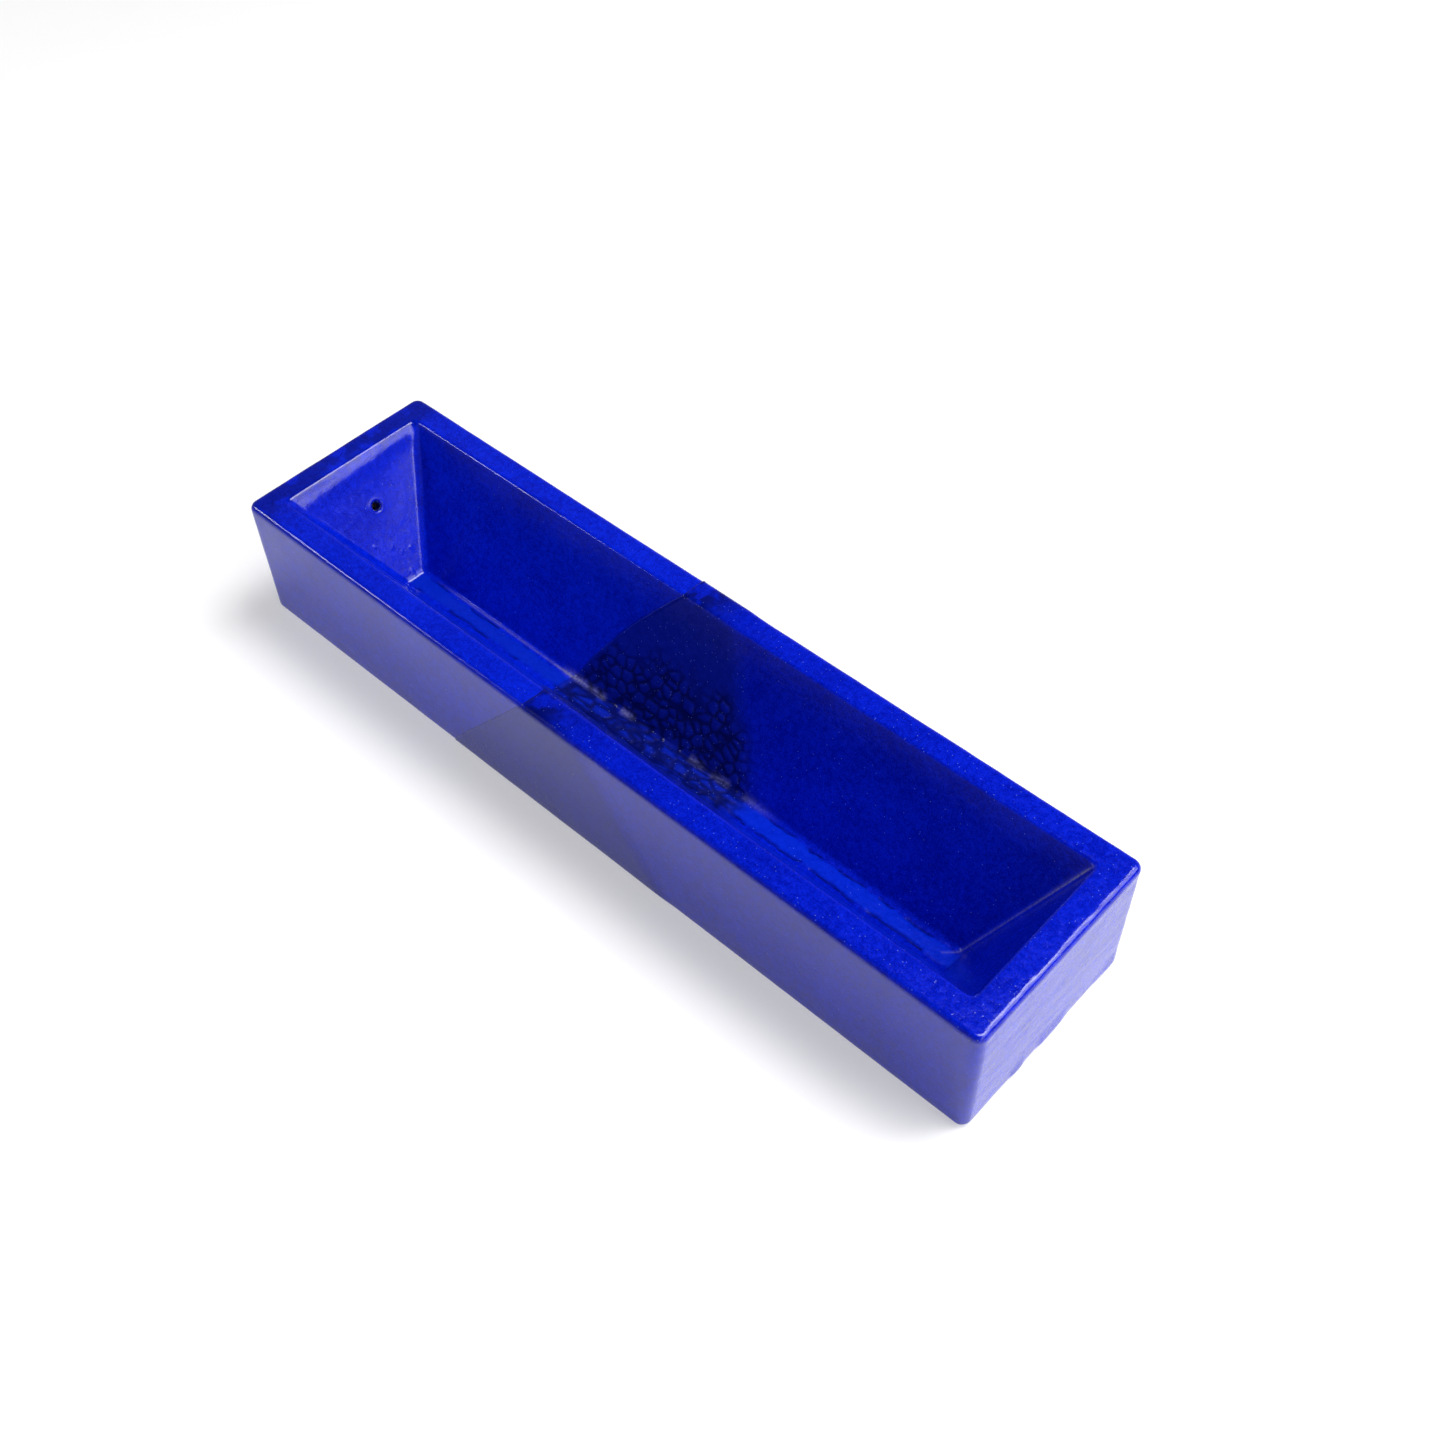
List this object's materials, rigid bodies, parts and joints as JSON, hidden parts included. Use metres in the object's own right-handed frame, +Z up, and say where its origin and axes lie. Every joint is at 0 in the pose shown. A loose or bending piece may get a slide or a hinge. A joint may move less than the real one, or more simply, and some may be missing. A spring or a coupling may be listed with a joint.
{
  "type": "incense trough",
  "caption": "Long ceramic incense trough with upright outer walls, a flat rim, sloping inner panels over a narrow floor, a stick hole in an end panel and overlapping blue glaze dips.",
  "frame": {"origin": "middle of the footprint, on the surface that the trough stands on", "axes": "+X along the trough from the stick-hole end to the plain end, +Z up"},
  "size_m": [0.254, 0.0632, 0.0404],
  "materials": {
    "fired_clay": "matt, unglazed, slightly sandy",
    "first_glaze": "satin-gloss cobalt blue glaze with fine speckle and orange-peel",
    "second_glaze": "satin-gloss cobalt blue glaze, darker and crawled where it lies on the first coat"
  },
  "bodies": {
    "root": {"clay_body": "fired_clay", "first_glaze_coat": "first_glaze", "second_glaze_coat": "second_glaze"}
  },
  "joints": []
}
